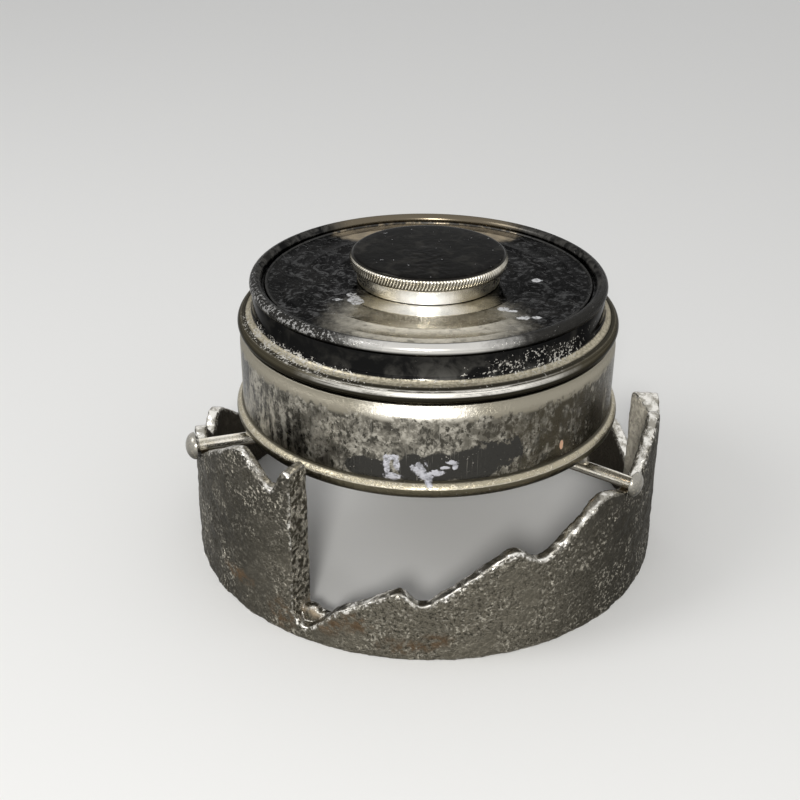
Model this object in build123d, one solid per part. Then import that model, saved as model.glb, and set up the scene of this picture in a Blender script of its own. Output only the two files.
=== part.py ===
"""Small spirit stove: a burner drum on three pins, resting in a cast stand ring with notched ramps.

The ring's foot stands on z = 0 and its axis is Z. Lengths are in millimetres and angles in degrees.
An azimuth is counted from the front (-Y) towards +X, which is also the way the ramps climb.
"""
from build123d import *
import math
import os

# Cast stand ring, its wall, and the room between its posts and the burner
ring_wall = 2.5
ring_draft = 1.0
post_depth = 5.4
post_clearance = 3.6
post_flare_before = 7.5
post_land_before = 1.6
post_land_after = 0.7
post_flare_after = 9.0
post_edge_rounding = 1.6
first_post_azimuth = -30.4
ramp_count = 3
ramp_sweep = 360.0 / ramp_count

# Ramp edge: angle from the post behind it, and height above the foot
foot_root_height = 5.0
foot_end = (2.6, 2.5)
shoulder = (8.5, 7.4)
first_crest = (25.4, 14.0)
first_notch = (30.2, 11.5)
second_crest = (50.8, 21.35)
second_notch = (57.4, 18.55)
flank_slope = 0.5

# The upper end of each ramp was filed by hand, so the three differ: right, back and left
third_crests = ((75.3, 26.75), (75.3, 26.75), (73.0, 26.75))
third_notch_angles = (85.9, 84.9, 79.4)
third_notch_height = 24.25
fourth_crests = ((103.7, 33.4), (104.4, 33.6), (104.6, 34.8))
fourth_notches = ((110.9, 29.5), (113.0, 29.7), (114.6, 29.6))
post_heights = (31.6, 33.3, 34.5)

# Support pins: shank, domed head, and the seat in the third notch
pin_radius = 1.25
pin_seat_gap = 0.15
pin_azimuths = (55.5, 174.5, 289.0)
pin_head_gaps = (0.25, 0.25, 0.6)
pin_head_radii = (2.6, 2.6, 2.85)
pin_head_edges = (0.5, 0.5, 0.9)
pin_dome_height = 1.1
pin_names = ("support_pin_right", "support_pin_back", "support_pin_left")

# Sheet metal of the burner, the running gap of the lid and the gap beside soft or turning pieces
sheet = 0.5
lid_gap = 0.1
loose_gap = 0.3

# Burner pan
pan_radius = 37.2
pan_bead_radius = 1.6
pan_bead_overhang = 1.3
pan_foot_above_pins = 1.55
pan_height = 18.3
pan_mouth_inset = 0.3
pan_mouth_height = 2.4
pan_bottom_flange = 3.0
hub_radius = 14.0
hub_wall_below_pin = 1.0
pin_inner_end = 6.0
solder_length = 3.0
solder_width = 3.2
solder_depth = 1.5

# Lid shell, from its bead up to its rim
lid_bead_radius = 1.3
lid_bead_overhang = 0.25
lid_seat_gap = 0.25
lid_band_inset = 2.75
lid_band_height = 7.5
lid_flare_height = 2.75
lid_rim_radius = 1.2
lid_rim_overhang = 0.35
lid_skirt_height = 6.0

# Top plate let into the rim
plate_below_rim_centre = 0.25
plate_ring_width = 0.5
plate_ring_height = 0.35
plate_ring_inset = 0.45

# Filler neck, wire gauze and the ring that holds it
neck_radius = 12.2
neck_wall = 2.0
neck_height = 3.9
neck_flange_width = 2.4
neck_flange_thickness = 0.6
gauze_seat_depth = 1.3
gauze_seat_width = 0.7
gauze_thickness = 0.3
gauze_pitch = 1.2
gauze_hole = 0.85
gauze_border = 0.6
gauze_ring_height = 0.8
gauze_ring_width = 0.9

# Screw thread of the neck, and the same thread inside the cap
thread_pitch = 1.5
thread_depth = 0.5
thread_root_width = 0.85
thread_crest_width = 0.3
thread_clearance = 0.15
thread_above_plate = 1.1
neck_thread_turns = 1.6
cap_thread_turns = 1.0

# Screw cap with its rolled grip and cork liner
cap_wall = 1.1
cap_skirt_gap = 0.15
cap_grip_radius = 1.25
cap_grip_overhang = 0.1
cap_grip_below_top = 0.05
cap_top_inset = 0.35
liner_thickness = 1.05
liner_gap = 0.1

# Sizes that follow from the ones above
pan_bead_outside = pan_radius + pan_bead_overhang
pan_bead_centre = pan_bead_outside - pan_bead_radius
ring_radius = pan_bead_outside + post_clearance + post_depth
ring_bore_radius = ring_radius - ring_wall
ring_blank_height = max(post_heights) + post_depth
pin_height = third_notch_height + pin_seat_gap + pin_radius
pan_bead_height = pin_height + pin_radius + pan_foot_above_pins + pan_bead_radius
pan_floor = pan_bead_height - pan_bead_radius + sheet
pan_top = pan_floor - sheet + pan_height
pan_bore_radius = pan_radius - sheet
lid_bead_height = pan_top + lid_seat_gap + lid_bead_radius
lid_bead_centre = pan_radius + lid_bead_overhang - lid_bead_radius
lid_skirt_radius = pan_bore_radius - pan_mouth_inset - lid_gap
lid_band_radius = pan_radius - lid_band_inset
lid_band_bore = lid_band_radius - sheet
lid_rim_height = lid_bead_height + lid_band_height
lid_rim_centre = lid_band_radius + lid_rim_overhang - lid_rim_radius
plate_top = lid_rim_height - plate_below_rim_centre
plate_radius = lid_rim_centre - math.sqrt(lid_rim_radius**2 - plate_below_rim_centre**2)
neck_bore_radius = neck_radius - neck_wall
neck_top = plate_top + neck_height
gauze_seat = neck_top - gauze_seat_depth
cap_bottom = plate_top + cap_skirt_gap
cap_top = neck_top + liner_thickness + 2 * liner_gap + sheet
cap_bore_radius = neck_radius + thread_depth + thread_clearance
cap_radius = cap_bore_radius + cap_wall
thread_start = plate_top + thread_above_plate


def place(radius, azimuth, height):
    """Point at a radius, an azimuth from the front and a height."""
    turn = math.radians(azimuth)
    return Vector(radius * math.sin(turn), -radius * math.cos(turn), height)


def tube(outer, inner, low, high):
    """Plain ring or sleeve between two heights."""
    middle = Pos(0, 0, (low + high) / 2)
    return middle * Cylinder(outer, high - low) - middle * Cylinder(inner, high - low)


def disc(radius, low, high):
    """Plain round plate between two heights."""
    return Pos(0, 0, (low + high) / 2) * Cylinder(radius, high - low)


def bead(centre_radius, radius, height):
    """Round bead that runs round the axis."""
    return Pos(0, 0, height) * Torus(centre_radius, radius)


def turned(*corners):
    """Solid of revolution from (radius, height) corners."""
    outline = Polyline(*[(radius, 0, height) for radius, height in corners], close=True)
    return revolve(make_face(outline), axis=Axis.Z)


def ramp_stations(ramp):
    """Angle, height and slope of one ramp at its foot, flanks, crests, notches and post."""
    crests = (first_crest, second_crest, third_crests[ramp], fourth_crests[ramp])
    third_notch = (third_notch_angles[ramp], third_notch_height)
    notches = (first_notch, second_notch, third_notch, fourth_notches[ramp])
    stations = [(0.0, foot_root_height, -2.0), foot_end + (0.0,)]
    start = shoulder
    for crest, notch in zip(crests, notches):
        run = crest[0] - start[0]
        rise = crest[1] - start[1]
        stations.append((start[0] + 0.24 * run, start[1] + 0.21 * rise, flank_slope))
        stations.append((start[0] + 0.8 * run, start[1] + 0.85 * rise, flank_slope))
        stations.append(crest + (0.0,))
        stations.append(notch + (0.0,))
        start = notch
    top = post_heights[ramp]
    stations.append((ramp_sweep - post_edge_rounding, top, 0.0))
    stations.append((ramp_sweep + post_land_after, top - post_edge_rounding, -1.5))
    return stations


def span_curve(radius, start, low, high):
    """Edge curve from one station to the next at a radius, level with the stations' slopes at both ends."""
    span = high[0] - low[0]
    reach = radius * math.radians(span) / 3
    points = []
    for angle, height, slope, way in (low + (1,), high + (-1,)):
        turn = math.radians(start + angle)
        station = place(radius, start + angle, height)
        pull = Vector(reach * math.cos(turn), reach * math.sin(turn), slope * span / 3)
        points.append((station, station + way * pull))
    return Bezier(points[0][0], points[0][1], points[1][1], points[1][0])


def ramp_clearance(ramp):
    """Everything above one ramp's edge, from surfaces ruled towards the axis."""
    start = first_post_azimuth + ramp * ramp_sweep
    stations = ramp_stations(ramp)
    patches = []
    for low, high in zip(stations, stations[1:]):
        inner = span_curve(ring_bore_radius - 2 * post_depth, start, low, high)
        outer = span_curve(ring_radius + post_depth, start, low, high)
        patches.append(Face.make_surface_from_curves(inner.edge(), outer.edge()))
    return extrude(Compound(children=patches), amount=2 * ring_blank_height, dir=(0, 0, 1))


def ring_bore():
    """The ring's inside in plan: round, but drawn in at each post."""
    land_radius = ring_radius - post_depth
    lines = []
    for ramp in range(ramp_count):
        face = first_post_azimuth + ramp * ramp_sweep
        before = place(ring_bore_radius, face - post_flare_before, 0)
        land_start = place(land_radius, face - post_land_before, 0)
        land_end = place(land_radius, face + post_land_after, 0)
        after = place(ring_bore_radius, face + post_flare_after, 0)
        ahead = place(ring_bore_radius, face + ramp_sweep - post_flare_before, 0)
        halfway = (post_flare_after + ramp_sweep - post_flare_before) / 2
        middle = place(ring_bore_radius, face + halfway, 0)
        lines += [Line(before, land_start), Line(land_start, land_end), Line(land_end, after)]
        lines.append(ThreePointArc(after, middle, ahead))
    return extrude(make_face(lines), amount=ring_blank_height)


def ring_outside(height):
    """Outer radius of the drafted ring at a height."""
    return ring_radius - height * math.tan(math.radians(ring_draft))


def stand_ring():
    """Cast ring with three climbing ramps, four rounded notches in each, and a thick post at each end."""
    top_radius = ring_outside(ring_blank_height)
    foot = (Align.CENTER, Align.CENTER, Align.MIN)
    outside = Cone(ring_radius, top_radius, ring_blank_height, align=foot)
    ring = outside.rotate(Axis.Z, ramp_sweep / 4) - ring_bore()
    for ramp in range(ramp_count):
        ring -= ramp_clearance(ramp)
    return ring


def pin(number):
    """Round support pin with a domed head outside the ring, laid along its azimuth."""
    seat = ring_outside(pin_height) + pin_head_gaps[number]
    edge = seat + pin_head_edges[number]
    end = edge + pin_dome_height
    head_radius = pin_head_radii[number]
    dome_radius = (head_radius**2 + pin_dome_height**2) / (2 * pin_dome_height)
    dome_turn = math.asin(head_radius / dome_radius) / 2
    dome = (dome_radius * math.sin(dome_turn), 0, end - dome_radius * (1 - math.cos(dome_turn)))
    outline = make_face([
        Line((0, 0, pin_inner_end), (pin_radius, 0, pin_inner_end)),
        Line((pin_radius, 0, pin_inner_end), (pin_radius, 0, seat)),
        Line((pin_radius, 0, seat), (head_radius, 0, seat)),
        Line((head_radius, 0, seat), (head_radius, 0, edge)),
        ThreePointArc((head_radius, 0, edge), dome, (0, 0, end)),
        Line((0, 0, end), (0, 0, pin_inner_end)),
    ])
    upright = revolve(outline, axis=Axis.Z)
    outward = pin_azimuths[number] - 90
    return Pos(0, 0, pin_height) * Rot(0, 0, outward) * Rot(0, 90, 0) * upright


def pin_hub(pins):
    """Round boss under the pan that the three pins are pressed into."""
    boss = disc(hub_radius, pin_height - pin_radius - hub_wall_below_pin, pan_floor - sheet)
    for each in pins:
        boss -= each
    return boss


def solder_joints(pins, wall, floor):
    """Solder between each pin and the bead that it runs under."""
    joints = []
    low = pin_height
    high = low + pin_radius + solder_depth + pan_bead_radius / 2
    for azimuth, each in zip(pin_azimuths, pins):
        block = Box(solder_length, solder_width, high - low)
        block = fillet(block.edges().filter_by(Axis.Z), solder_length / 3)
        spot = Pos(place(pan_bead_centre, azimuth, (low + high) / 2)) * Rot(0, 0, azimuth - 90)
        joints.append(spot * block - each - wall - floor)
    return Compound(children=[max(joint.solids(), key=lambda solid: solid.volume) for joint in joints])


def pan_wall():
    """Drum wall with a rolled bead at its foot and its mouth drawn in a little under the lid."""
    shoulder = pan_top - pan_mouth_height
    halfway = pan_top - pan_mouth_height / 2
    wall = tube(pan_radius, pan_bore_radius, pan_bead_height, shoulder)
    mouth = turned(
        (pan_bore_radius, shoulder), (pan_radius, shoulder),
        (pan_radius - pan_mouth_inset / 4, halfway), (pan_radius - pan_mouth_inset, pan_top),
        (pan_bore_radius - pan_mouth_inset, pan_top), (pan_bore_radius - pan_mouth_inset / 4, halfway),
    )
    foot = bead(pan_bead_centre, pan_bead_radius, pan_bead_height)
    inside = disc(pan_bore_radius, pan_floor - 2 * sheet, shoulder)
    return wall + mouth + foot - inside


def pan_bottom():
    """Floor of the drum, a shallow dish soldered inside the wall."""
    low = pan_floor - sheet
    floor = disc(pan_bore_radius, low, pan_floor)
    flange = tube(pan_bore_radius, pan_bore_radius - sheet, low, pan_floor + pan_bottom_flange)
    return floor + flange


def fibre_pad():
    """Absorbent packing that holds the spirit, in the drum and up inside the lid."""
    low = pan_floor + loose_gap
    wide = lid_skirt_radius - sheet - loose_gap - 0.1
    narrow = lid_band_bore - 2 * loose_gap
    shoulder = pan_top - 0.5
    high = plate_top - sheet - neck_flange_thickness - 2 * loose_gap
    notch = pan_bottom_flange + 2 * loose_gap
    packing = turned(
        (0, low), (pan_bore_radius - sheet - 2 * loose_gap, low),
        (wide, low + notch), (wide, shoulder), (narrow, shoulder), (narrow, high), (0, high),
    )
    return packing


def lid_shell():
    """Lid in one stamping: rolled rim, upright band, hollow flare, bead on the drum, skirt inside it."""
    band_low = lid_bead_height + lid_flare_height
    band = tube(lid_band_radius, lid_band_bore, lid_bead_height, lid_rim_height)
    rim = bead(lid_rim_centre, lid_rim_radius, lid_rim_height)
    roll = bead(lid_bead_centre, lid_bead_radius, lid_bead_height)
    flare_foot = lid_bead_height + lid_bead_radius * 0.8
    flare = revolve(make_face([
        Line((lid_band_bore, 0, flare_foot), (lid_band_bore, 0, band_low)),
        Line((lid_band_bore, 0, band_low), (lid_band_radius, 0, band_low)),
        ThreePointArc(
            (lid_band_radius, 0, band_low),
            (lid_band_radius + 0.35, 0, flare_foot + 0.62),
            (lid_bead_centre + 0.2, 0, flare_foot),
        ),
        Line((lid_bead_centre + 0.2, 0, flare_foot), (lid_band_bore, 0, flare_foot)),
    ]), axis=Axis.Z)
    skirt_low = pan_top - lid_skirt_height
    skirt = tube(lid_skirt_radius, lid_skirt_radius - sheet, skirt_low, lid_bead_height)
    inside = disc(lid_band_bore, skirt_low, lid_bead_height + lid_flare_height)
    return band + rim + roll + flare + skirt - inside


def top_plate():
    """Flat plate let into the rim, with a fine raised ring near its edge and a hole for the neck."""
    plate = tube(plate_radius, neck_radius, plate_top - sheet, plate_top)
    ring_outer = plate_radius - plate_ring_inset
    ring = tube(ring_outer, ring_outer - plate_ring_width, plate_top - sheet, plate_top + plate_ring_height)
    return plate + ring


def thread(radius, depth, start, turns):
    """Helical rib on a round wall, outwards for a positive depth and inwards for a negative one."""
    root = radius - math.copysign(thread_clearance, depth)
    crest = radius + depth
    section = Polyline(
        (root, 0, start - thread_root_width / 2), (crest, 0, start - thread_crest_width / 2),
        (crest, 0, start + thread_crest_width / 2), (root, 0, start + thread_root_width / 2),
        close=True,
    )
    path = Helix(thread_pitch, thread_pitch * turns, radius, center=(0, 0, start))
    return sweep(make_face(section), path=path, is_frenet=True)


def neck_collar():
    """Threaded filler neck with a flange soldered under the plate and a seat for the gauze."""
    low = plate_top - sheet - neck_flange_thickness
    seat_radius = neck_bore_radius + gauze_seat_width
    collar = turned(
        (neck_bore_radius, low), (neck_radius + neck_flange_width, low),
        (neck_radius + neck_flange_width, plate_top - sheet), (neck_radius, plate_top - sheet),
        (neck_radius, neck_top), (seat_radius, neck_top),
        (seat_radius, gauze_seat), (neck_bore_radius, gauze_seat),
    )
    return collar + thread(neck_radius, thread_depth, thread_start, neck_thread_turns)


def gauze_disc():
    """Wire gauze over the neck, as one flat net."""
    radius = neck_bore_radius + gauze_seat_width
    net = disc(radius, gauze_seat, gauze_seat + gauze_thickness)
    reach = math.ceil(radius / gauze_pitch)
    spots = []
    for column in range(-reach, reach + 1):
        for row in range(-reach, reach + 1):
            x = (column + 0.5) * gauze_pitch
            y = (row + 0.5) * gauze_pitch
            corner = math.hypot(abs(x) + gauze_hole / 2, abs(y) + gauze_hole / 2)
            if corner < radius - gauze_border:
                spots.append(Pos(x, y))
    squares = Sketch() + [spot * Rectangle(gauze_hole, gauze_hole) for spot in spots]
    holes = extrude(Pos(0, 0, gauze_seat - 1) * squares, amount=gauze_thickness + 2)
    return net - holes


def gauze_ring():
    """Spring ring that keeps the gauze on its seat."""
    radius = neck_bore_radius + gauze_seat_width
    low = gauze_seat + gauze_thickness
    return tube(radius, radius - gauze_ring_width, low, low + gauze_ring_height)


def wick_plug():
    """Tuft of wick in the neck, under the gauze."""
    low = plate_top - sheet - neck_flange_thickness - loose_gap
    return disc(neck_bore_radius, low, gauze_seat)


def cap_shell():
    """Screw cap: flat top, rolled grip round its edge and a skirt down to the plate, threaded inside."""
    grip_height = cap_top - cap_grip_below_top - cap_grip_radius
    skirt = tube(cap_radius, cap_bore_radius, cap_bottom, grip_height)
    top = disc(cap_radius - cap_top_inset, grip_height, cap_top)
    grip = bead(cap_radius + cap_grip_overhang, cap_grip_radius, grip_height)
    inside = disc(cap_bore_radius, cap_bottom, cap_top - sheet)
    rib = thread(cap_bore_radius, -thread_depth, thread_start + thread_pitch / 2, cap_thread_turns)
    return skirt + top + grip - inside + rib


def cap_liner():
    """Cork washer inside the cap, which closes on the neck."""
    high = cap_top - sheet - liner_gap
    return disc(cap_bore_radius - 2 * liner_gap, high - liner_thickness, high)


pins = [pin(number) for number in range(len(pin_names))]
wall = pan_wall()
floor = pan_bottom()
pieces = {
    "stand_ring": stand_ring(),
    "pan_wall": wall,
    "pan_bottom": floor,
    "pin_hub": pin_hub(pins),
    "solder_joints": solder_joints(pins, wall, floor),
    "fibre_pad": fibre_pad(),
    "lid_shell": lid_shell(),
    "top_plate": top_plate(),
    "neck_collar": neck_collar(),
    "gauze_disc": gauze_disc(),
    "gauze_ring": gauze_ring(),
    "wick_plug": wick_plug(),
    "cap_shell": cap_shell(),
    "cap_liner": cap_liner(),
}
pieces.update(zip(pin_names, pins))

os.makedirs("parts", exist_ok=True)
for name, piece in pieces.items():
    export_step(piece, f"parts/{name}.step")
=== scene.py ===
# %% [markdown]
# # An old spirit stove on a cast ring
# The CAD model gives every size, place and joint. This notebook dresses it: the nickel-plated burner is turned
# again with finer beads, the cast ring gets its rough skin, and each surface gets its own finish. We start by
# loading the CAD pieces and keeping their box, because nothing we make may outgrow it.

import math

import bpy
import numpy as np
from mathutils import Matrix, Vector


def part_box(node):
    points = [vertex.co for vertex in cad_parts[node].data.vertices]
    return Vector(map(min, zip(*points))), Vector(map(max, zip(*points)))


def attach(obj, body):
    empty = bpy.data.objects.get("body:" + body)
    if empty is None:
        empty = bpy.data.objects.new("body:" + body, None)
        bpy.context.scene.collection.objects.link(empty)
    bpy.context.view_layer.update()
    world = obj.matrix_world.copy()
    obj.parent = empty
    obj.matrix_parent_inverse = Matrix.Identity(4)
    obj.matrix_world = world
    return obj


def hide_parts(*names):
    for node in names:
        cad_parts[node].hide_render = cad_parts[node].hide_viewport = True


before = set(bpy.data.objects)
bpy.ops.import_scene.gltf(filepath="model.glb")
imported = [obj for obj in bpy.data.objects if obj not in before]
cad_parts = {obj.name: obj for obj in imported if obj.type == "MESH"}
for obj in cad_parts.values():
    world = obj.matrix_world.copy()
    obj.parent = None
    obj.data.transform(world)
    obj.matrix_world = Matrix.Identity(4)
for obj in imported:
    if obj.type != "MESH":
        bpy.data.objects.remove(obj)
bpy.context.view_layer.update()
MM = 0.001
print("CAD pieces:", ", ".join(sorted(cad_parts)))


# %% [markdown]
# Operators act on whatever is selected, so each step starts from an empty selection. Turned parts are made as on
# a lathe: a plane is merged to a point, the point is drawn along half of the cross-section, and the outline is
# spun round the burner's axis. Beads and rolled edges are arcs in that outline. The last two helpers apply a
# modifier, and say which body a finished piece rides on and which CAD nodes it stands for.

# %% Lathe helpers
ROUND_FACES = 256
WELD = 0.002 * MM
SMOOTH_BELOW = math.radians(32)


def deselect():
    if bpy.context.object and bpy.context.mode != "OBJECT":
        bpy.ops.object.mode_set(mode="OBJECT")
    bpy.ops.object.select_all(action="DESELECT")


def pick(*pieces):
    """Selects these pieces and nothing else. The first becomes the active one."""
    deselect()
    for piece in reversed(pieces):
        piece.select_set(True)
        bpy.context.view_layer.objects.active = piece


def on_all(operator, **settings):
    """Runs an operator of edit mode on the whole mesh."""
    bpy.ops.mesh.select_all(action="SELECT")
    operator(**settings)


def arc(radius, height, size, start, end, steps=12):
    """Points of an arc in a cross-section, in millimetres; angles in degrees from outwards, positive up."""
    turns = [math.radians(start + (end - start) * step / steps) for step in range(steps + 1)]
    return [(radius + size * math.cos(turn), height + size * math.sin(turn)) for turn in turns]


def beside(radius, height, *steps):
    """Points of a cross-section, given as steps outwards and up from one place."""
    return [(radius + out, height + up) for out, up in steps]


def spin_outline(name, outline, steps=ROUND_FACES):
    """Turns a closed outline of (radius, height) points, in millimetres, into a solid round the Z axis."""
    deselect()
    radius, height = outline[0]
    bpy.ops.mesh.primitive_plane_add(size=MM, location=(radius * MM, 0, height * MM))
    piece = bpy.context.object
    piece.name = piece.data.name = name
    bpy.ops.object.transform_apply(location=True, rotation=True, scale=True)
    bpy.ops.object.mode_set(mode="EDIT")
    on_all(bpy.ops.mesh.merge, type="CENTER")
    for (r0, z0), (r1, z1) in zip(outline, outline[1:] + outline[:1]):
        step = ((r1 - r0) * MM, 0, (z1 - z0) * MM)
        bpy.ops.mesh.extrude_vertices_move(TRANSFORM_OT_translate={"value": step})
    on_all(bpy.ops.mesh.remove_doubles, threshold=WELD)
    on_all(bpy.ops.mesh.spin, steps=steps, angle=math.tau, center=(0, 0, 0), axis=(0, 0, 1), use_auto_merge=True)
    on_all(bpy.ops.mesh.remove_doubles, threshold=WELD)
    on_all(bpy.ops.mesh.normals_make_consistent, inside=False)
    bpy.ops.object.mode_set(mode="OBJECT")
    bpy.ops.object.shade_smooth_by_angle(angle=SMOOTH_BELOW)
    return piece


def modify(piece, kind, **settings):
    """Adds a modifier to the active piece, sets it and applies it."""
    added = piece.modifiers.new(kind.lower(), kind)
    for setting, value in settings.items():
        setattr(added, setting, value)
    bpy.ops.object.modifier_apply(modifier=added.name)


def settle(piece, body, slot, *nodes):
    """Says which body a finished piece moves with and the CAD nodes that it stands for. The slot is not used."""
    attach(piece, body)
    if nodes:
        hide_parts(*nodes)
    print(piece.name, len(piece.data.polygons), "faces on", body)
    return piece


# %% [markdown]
# The drum's wall is thin sheet: its mouth is drawn in a little to grip the lid, and its foot is rolled into a bead
# that is soldered round the bottom. A fine groove runs where the bead closes on the wall, and it catches dirt, so
# it is in the outline and not left to the material.

# %% Drum
DRUM_RADIUS = 37.2
DRUM_BORE = 36.7
MOUTH_INSET = 0.3
DRUM_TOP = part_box("pan_wall")[1][2] / MM
BEAD_HEIGHT = DRUM_TOP - 16.7
BEAD_MIDDLE = 36.9
BEAD_SIZE = 1.6


def drum_outline():
    mouth_bore = DRUM_BORE - MOUTH_INSET
    outline = [(mouth_bore, DRUM_TOP - 0.15), (mouth_bore + 0.12, DRUM_TOP)]
    outline += arc(DRUM_RADIUS - MOUTH_INSET - 0.2, DRUM_TOP - 0.2, 0.2, 90, 0, 6)
    outline += beside(DRUM_RADIUS, DRUM_TOP, (-0.29, -0.6), (-0.24, -1.0), (-0.15, -1.5), (-0.06, -2.0),
                      (-0.01, -2.5), (0, -3.0))
    outline += beside(DRUM_RADIUS, BEAD_HEIGHT, (0, 13), (0, 10), (0, 7), (0, 4.5), (0, 2.6), (0, 2.0),
                      (-0.05, 1.62), (0.1, 1.56))
    outline += arc(BEAD_MIDDLE, BEAD_HEIGHT, BEAD_SIZE, 84, -112, 28)
    outline += [(DRUM_BORE, BEAD_HEIGHT - 1.35), (DRUM_BORE, BEAD_HEIGHT + 6), (DRUM_BORE, DRUM_TOP - 2.6)]
    return outline


drum = settle(spin_outline("drum_wall", drum_outline()), "burner", "nickel_plate", "pan_wall")


# %% [markdown]
# The lid is one stamping with four features, from the top: a rolled rim, an upright band, a hollow flare and a
# round bead with two fine lines above it. Below the bead, out of sight, a skirt slides into the drum.

# %% Lid
LID_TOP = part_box("lid_shell")[1][2] / MM
RIM_HEIGHT = LID_TOP - 1.2
RIM_MIDDLE = 33.6
RIM_SIZE = 1.2
BAND_RADIUS = 34.45
LID_BEAD_HEIGHT = RIM_HEIGHT - 7.5
LID_BEAD_MIDDLE = 36.15
LID_BEAD_SIZE = 1.3
SKIRT_RADIUS = 36.3
SKIRT_FOOT = DRUM_TOP - 6.0
SHEET = 0.5


def lid_outline():
    outline = arc(RIM_MIDDLE, RIM_HEIGHT, RIM_SIZE, 205, -42, 32)
    outline += beside(BAND_RADIUS, RIM_HEIGHT, (-0.04, -0.95), (0, -1.2), (0, -2.0), (0, -3.2), (0, -4.0),
                      (0.02, -4.5), (0.1, -4.9), (0.28, -5.3), (0.58, -5.62), (0.95, -5.85), (1.35, -6.0),
                      (1.5, -6.14), (1.62, -6.06))
    outline += arc(LID_BEAD_MIDDLE + 0.1, LID_BEAD_HEIGHT + 0.1, LID_BEAD_SIZE - 0.1, 78, 48, 4)
    outline += [(LID_BEAD_MIDDLE + 0.93, LID_BEAD_HEIGHT + 0.86)]
    outline += arc(LID_BEAD_MIDDLE, LID_BEAD_HEIGHT, LID_BEAD_SIZE, 40, -75, 16)
    outline += [(SKIRT_RADIUS, LID_BEAD_HEIGHT - 1.3), (SKIRT_RADIUS, SKIRT_FOOT + 0.2)]
    outline += [(SKIRT_RADIUS - 0.1, SKIRT_FOOT), (SKIRT_RADIUS - SHEET, SKIRT_FOOT)]
    outline += [(SKIRT_RADIUS - SHEET, LID_BEAD_HEIGHT), (BAND_RADIUS - SHEET, LID_BEAD_HEIGHT)]
    outline += [(BAND_RADIUS - SHEET, RIM_HEIGHT - 1.0)]
    return outline


lid = settle(spin_outline("lid_shell_turned", lid_outline()), "lid", "nickel_plate", "lid_shell")


# %% [markdown]
# The top plate is let into the rim. It is spun sheet, not flat glass: a thin ring stands up near its edge, and
# two shallow steps run round it further in. They are small, but the mirror finish shows them as fine lines.

# %% Top plate
PLATE_TOP = RIM_HEIGHT - 0.25
PLATE_RADIUS = 32.42
PLATE_STEPS = (18.6, 24.4, 28.6)
NECK_RADIUS = 12.2


def plate_outline():
    outline = beside(NECK_RADIUS, PLATE_TOP, (0, -SHEET), (0, 0), (2.2, 0))
    for radius in PLATE_STEPS:
        outline += beside(radius, PLATE_TOP, (-0.25, 0), (0, 0.05), (0.25, 0))
    ring = PLATE_RADIUS - 0.78
    outline += [(ring - 0.5, PLATE_TOP - 0.02)]
    outline += arc(ring, PLATE_TOP + 0.02, 0.3, 180, 0, 8)
    outline += [(ring + 0.42, PLATE_TOP - 0.12), (PLATE_RADIUS, PLATE_TOP - 0.12)]
    outline += [(PLATE_RADIUS, PLATE_TOP - SHEET)]
    return outline


plate = settle(spin_outline("top_plate_spun", plate_outline()), "lid", "nickel_plate", "top_plate")


# %% [markdown]
# The cap's flat top runs out nearly to the edge of its grip, a rolled bead with a rope knurl: about 150 ridges
# that lean to the right. The bead is spun with six faces to each ridge. A vertex group holds the wave, and a
# Displace modifier lifts the ridges out of the bead.

# %% Cap
CAP_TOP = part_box("cap_shell")[1][2] / MM
CAP_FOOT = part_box("cap_shell")[0][2] / MM
CAP_RADIUS = 13.95
CAP_BORE = 12.85
GRIP_RADIUS = 15.08
GRIP_TALL = 2.9
KNURL_RIDGES = 150
KNURL_FACES = 6
KNURL_DEPTH = 0.27
KNURL_SLANT = 1.6
GRIP_SHAPE = ((14.5, 0.1), (14.68, 0.14), (14.84, 0.24), (14.95, 0.4), (15.02, 0.6), (15.06, 0.8), (15.08, 1.05),
              (15.08, 1.3), (15.07, 1.52), (15.04, 1.75), (14.98, 2.0), (14.88, 2.22), (14.72, 2.45), (14.52, 2.62),
              (14.42, 2.74), (14.4, 2.86), (14.2, 2.9), (13.4, 2.84), (13.4, 0.5))


def cap_outline():
    grip_foot = CAP_TOP - GRIP_TALL
    outline = beside(0, CAP_TOP, (0, 0), (6, 0), (12.4, 0), (14.1, 0), (14.42, -0.02), (14.6, -0.07), (14.7, -0.18),
                     (14.6, -0.3), (13.6, -0.6))
    outline += [(13.6, grip_foot + 0.3), (CAP_RADIUS, grip_foot + 0.2), (CAP_RADIUS, grip_foot - 0.6)]
    outline += beside(CAP_RADIUS, CAP_FOOT, (0, 0.25), (-0.03, 0.05), (-0.12, -0.05))
    outline += beside(CAP_BORE, CAP_FOOT, (0.2, -0.05), (0, 0.2))
    outline += [(radius, CAP_TOP - SHEET) for radius in (CAP_BORE, 6, 0)]
    return outline


def knurled_grip():
    outline = [(radius, CAP_TOP - drop) for radius, drop in GRIP_SHAPE]
    grip = spin_outline("cap_grip", outline, steps=KNURL_RIDGES * KNURL_FACES)
    ridges = grip.vertex_groups.new(name="ridges")
    for vertex in grip.data.vertices:
        x, y, z = vertex.co / MM
        down = (CAP_TOP - z) / GRIP_TALL
        if math.hypot(x, y) < 14.3:
            continue
        fade = min(1.0, max(0.0, (down - 0.1) / 0.12)) * min(1.0, max(0.0, (0.92 - down) / 0.1))
        wave = 0.5 + 0.5 * math.cos(KNURL_RIDGES * math.atan2(y, x) + KNURL_SLANT * math.tau * down)
        ridges.add([vertex.index], fade * wave, "REPLACE")
    pick(grip)
    modify(grip, "DISPLACE", vertex_group="ridges", strength=KNURL_DEPTH * MM, mid_level=0.0)
    grip.vertex_groups.clear()
    bpy.ops.object.shade_smooth()
    return grip


cap = settle(spin_outline("cap_body", cap_outline()), "cap", "nickel_plate", "cap_shell")
grip = settle(knurled_grip(), "cap", "nickel_plate", "cap_shell")


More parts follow.
